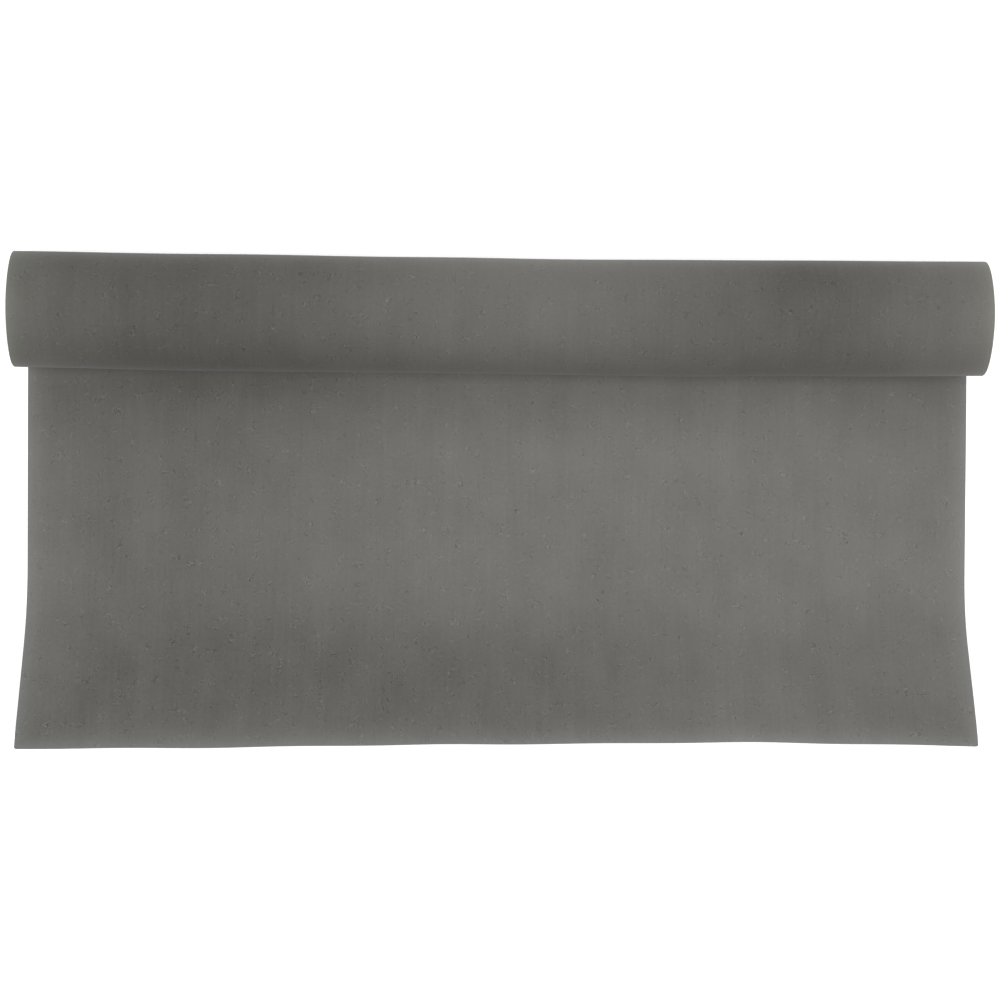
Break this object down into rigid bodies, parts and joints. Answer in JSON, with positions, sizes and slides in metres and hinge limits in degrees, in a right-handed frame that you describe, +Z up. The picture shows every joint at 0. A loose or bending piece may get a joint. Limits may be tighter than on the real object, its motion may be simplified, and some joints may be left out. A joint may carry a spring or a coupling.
{
  "type": "backdrop paper roll",
  "caption": "Small dark warm-grey seamless backdrop paper roll on a cardboard core, lying on a floor with a short length paid out and its free end curling up.",
  "frame": {"origin": "middle of the core's bore, halfway along the roll", "axes": "+X along the roll, -Y the way the paper leaves the roll along the floor, +Z up"},
  "size_m": [0.68, 0.3448, 0.0799],
  "materials": {
    "backdrop_paper": "matte",
    "core_board": "matte",
    "core_liner": "matte",
    "tape": "satin"
  },
  "bodies": {
    "outer_turn": {"outer_turn": "backdrop_paper"},
    "roll": {"core_liner_ply": "core_liner", "core_body_ply_1": "core_board", "core_body_ply_2": "core_board", "core_body_ply_3": "core_board", "core_body_ply_4": "core_board", "core_cover_ply": "core_liner", "start_tape": "tape", "wound_paper": "backdrop_paper"},
    "sheet": {"flat_sheet": "backdrop_paper"},
    "free_end": {"free_end": "backdrop_paper"}
  },
  "joints": [
    {"name": "roll_turn", "type": "hinge", "parent": "outer_turn", "child": "roll", "pos_m": [0, 0, 0], "axis": [-1, 0, 0], "range_deg": [-135, 360]},
    {"name": "sheet_pull", "type": "slide", "parent": "outer_turn", "child": "sheet", "axis": [0, -1, 0], "range_m": [-0.095, 0.251], "deforming": ["flat_sheet"]},
    {"name": "free_end_lift", "type": "hinge", "parent": "sheet", "child": "free_end", "pos_m": [0, -0.184, -0.0399], "axis": [-1, 0, 0], "range_deg": [-10, 40], "stiffness_Nm_per_rad": 0.05, "springref_deg": 10.6, "deforming": ["free_end"]}
  ],
  "couplings": [
    {"joint": "sheet_pull", "follows": "roll_turn", "m_per_rad": 0.039904}
  ]
}
